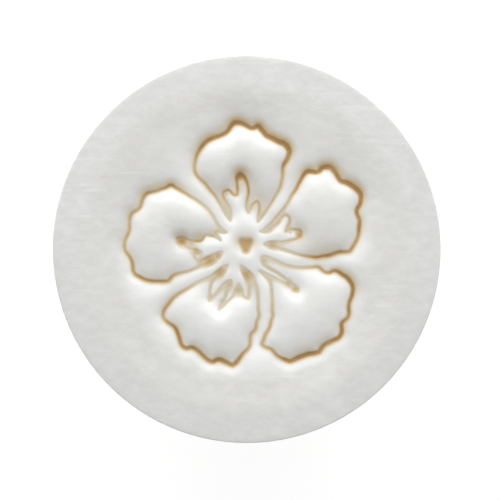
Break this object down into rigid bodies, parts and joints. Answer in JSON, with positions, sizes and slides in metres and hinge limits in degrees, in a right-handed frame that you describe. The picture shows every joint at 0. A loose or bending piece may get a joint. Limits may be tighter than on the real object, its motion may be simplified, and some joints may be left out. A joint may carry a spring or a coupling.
{
  "type": "clay stamp",
  "caption": "Hand stamp: a round fired-clay head, with a ruffled flower in brown sunk lines on its face, screws onto a turned wooden handle with a brass ferrule.",
  "frame": {"origin": "middle of the flat end of the handle, on which the stamp stands", "axes": "+Z from the handle's flat end to the stamping face, along the turned axis; +Y to the top of the flower's picture; +X to its right"},
  "size_m": [0.05, 0.05, 0.0701],
  "materials": {
    "clay": "matte, unglazed, faintly mottled",
    "brown_slip": "matte iron-brown slip",
    "cement": "matte, fine-grained",
    "brass": "satin, lightly worn",
    "rubber": "matte",
    "steel": "bright zinc plated",
    "wood": "oiled beech, satin"
  },
  "bodies": {
    "handle": {"handle": "wood", "stud": "steel", "ferrule": "brass", "ferrule_pins": "brass"},
    "cushion": {"cushion_ring": "rubber"},
    "head": {"stamp_head": "clay", "flower_line_inlay": "brown_slip", "centre_dot_inlay": "brown_slip", "socket_cement": "cement", "threaded_insert": "brass"}
  },
  "joints": [
    {"name": "head_lift", "type": "slide", "parent": "handle", "child": "cushion", "axis": [0, 0, 1], "range_m": [0, 0.008]},
    {"name": "head_turn", "type": "hinge", "parent": "cushion", "child": "head", "pos_m": [0, 0, 0.0563], "axis": [0, 0, 1], "range_deg": [0, 2880]}
  ],
  "couplings": [
    {"joint": "head_lift", "follows": "head_turn", "m_per_rad": 0.00015915}
  ]
}
